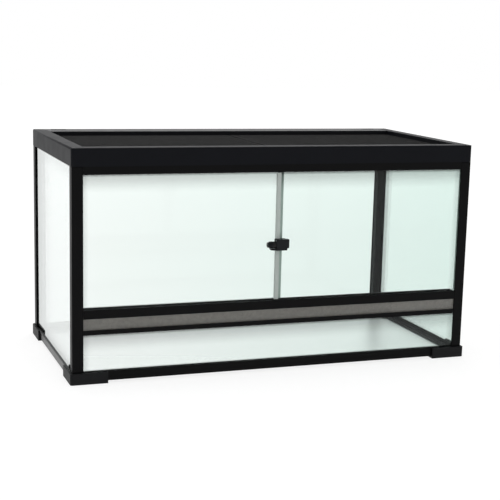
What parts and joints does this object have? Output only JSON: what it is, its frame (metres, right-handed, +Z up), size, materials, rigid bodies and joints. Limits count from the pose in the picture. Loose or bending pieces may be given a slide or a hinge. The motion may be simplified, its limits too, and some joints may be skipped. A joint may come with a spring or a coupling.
{
  "type": "reptile terrarium",
  "caption": "Flat-pack glass terrarium in a black frame, with sliding front doors and a knob lock, a front ventilation strip, lift-out mesh screens, cable inlets and corner feet.",
  "frame": {"origin": "on the floor under the middle of the cabinet, centred between the feet", "axes": "+X to the viewer's right along the cabinet's width, the sliding doors face -Y, +Z up"},
  "size_m": [0.91, 0.4603, 0.487],
  "materials": {
    "frame_plastic": "black satin moulded plastic of the posts and rails",
    "cap_plastic": "black satin moulded plastic of the top frame",
    "foot_plastic": "black satin moulded plastic",
    "track_plastic": "black extruded plastic, smooth",
    "screen_frame_plastic": "black satin plastic",
    "shutter_plastic": "black satin plastic",
    "lock_plastic": "black, slightly glossy",
    "lock_rubber": "black rubber",
    "seal_rubber": "pale grey translucent soft seal",
    "spline_rubber": "black rubber cord",
    "pane_glass": "clear float glass, faint green tint",
    "door_glass": "clear float glass, faint green tint, polished edges",
    "base_glass": "clear float glass, faint green tint",
    "strip_plastic": "translucent grey strip",
    "black_sealant": "black sealing bead",
    "vent_wire": "fine dull grey wire mesh",
    "screen_wire": "fine black coated wire mesh",
    "screw_steel": "blackened steel screws"
  },
  "bodies": {
    "cabinet": {"front_bottom_rail": "frame_plastic", "rear_bottom_rail": "frame_plastic", "left_bottom_rail": "frame_plastic", "right_bottom_rail": "frame_plastic", "front_left_foot": "foot_plastic", "front_right_foot": "foot_plastic", "rear_left_foot": "foot_plastic", "rear_right_foot": "foot_plastic", "foot_screws": "screw_steel", "front_left_post": "frame_plastic", "front_right_post": "frame_plastic", "rear_left_post": "frame_plastic", "rear_right_post": "frame_plastic", "base_glass": "base_glass", "base_seals": "black_sealant", "left_glass": "pane_glass", "right_glass": "pane_glass", "rear_glass": "pane_glass", "lower_front_glass": "pane_glass", "vent_bar": "frame_plastic", "vent_mesh": "vent_wire", "mid_rail": "frame_plastic", "lower_door_track": "track_plastic", "header_rail": "frame_plastic", "upper_door_track": "track_plastic", "left_jamb_seal": "seal_rubber", "right_jamb_seal": "seal_rubber", "front_cap_rail": "cap_plastic", "rear_cap_rail": "cap_plastic", "left_cap_rail": "cap_plastic", "right_cap_rail": "cap_plastic", "cap_centre_bar": "cap_plastic", "cap_screws": "screw_steel"},
    "left_door": {"left_door_glass": "door_glass", "left_door_edge_strip": "strip_plastic"},
    "right_door": {"right_door_glass": "door_glass", "right_door_edge_strip": "strip_plastic", "lock_body": "lock_plastic", "lock_liners": "lock_rubber"},
    "lock_turn": {"lock_knob": "lock_plastic", "lock_cam": "lock_rubber"},
    "left_screen": {"left_screen_front_bar": "screen_frame_plastic", "left_screen_rear_bar": "screen_frame_plastic", "left_screen_outer_bar": "screen_frame_plastic", "left_screen_inner_bar": "screen_frame_plastic", "left_screen_mesh": "screen_wire", "left_screen_spline": "spline_rubber"},
    "right_screen": {"right_screen_front_bar": "screen_frame_plastic", "right_screen_rear_bar": "screen_frame_plastic", "right_screen_outer_bar": "screen_frame_plastic", "right_screen_inner_bar": "screen_frame_plastic", "right_screen_mesh": "screen_wire", "right_screen_spline": "spline_rubber"},
    "left_shutter": {"left_cable_shutter": "shutter_plastic"},
    "right_shutter": {"right_cable_shutter": "shutter_plastic"}
  },
  "joints": [
    {"name": "left_door_slide", "type": "slide", "parent": "cabinet", "child": "left_door", "axis": [1, 0, 0], "range_m": [0, 0.418]},
    {"name": "right_door_slide", "type": "slide", "parent": "cabinet", "child": "right_door", "axis": [-1, 0, 0], "range_m": [0, 0.39]},
    {"name": "lock_knob_turn", "type": "hinge", "parent": "right_door", "child": "lock_turn", "pos_m": [-0.0115, -0.223, 0.277], "axis": [1, 0, 0], "range_deg": [0, 90]},
    {"name": "left_screen_lift", "type": "slide", "parent": "cabinet", "child": "left_screen", "axis": [0, 0, 1], "range_m": [0, 0.1]},
    {"name": "right_screen_lift", "type": "slide", "parent": "cabinet", "child": "right_screen", "axis": [0, 0, 1], "range_m": [0, 0.1]},
    {"name": "left_shutter_slide", "type": "slide", "parent": "cabinet", "child": "left_shutter", "axis": [-1, 0, 0], "range_m": [0, 0.032]},
    {"name": "right_shutter_slide", "type": "slide", "parent": "cabinet", "child": "right_shutter", "axis": [1, 0, 0], "range_m": [0, 0.032]}
  ]
}
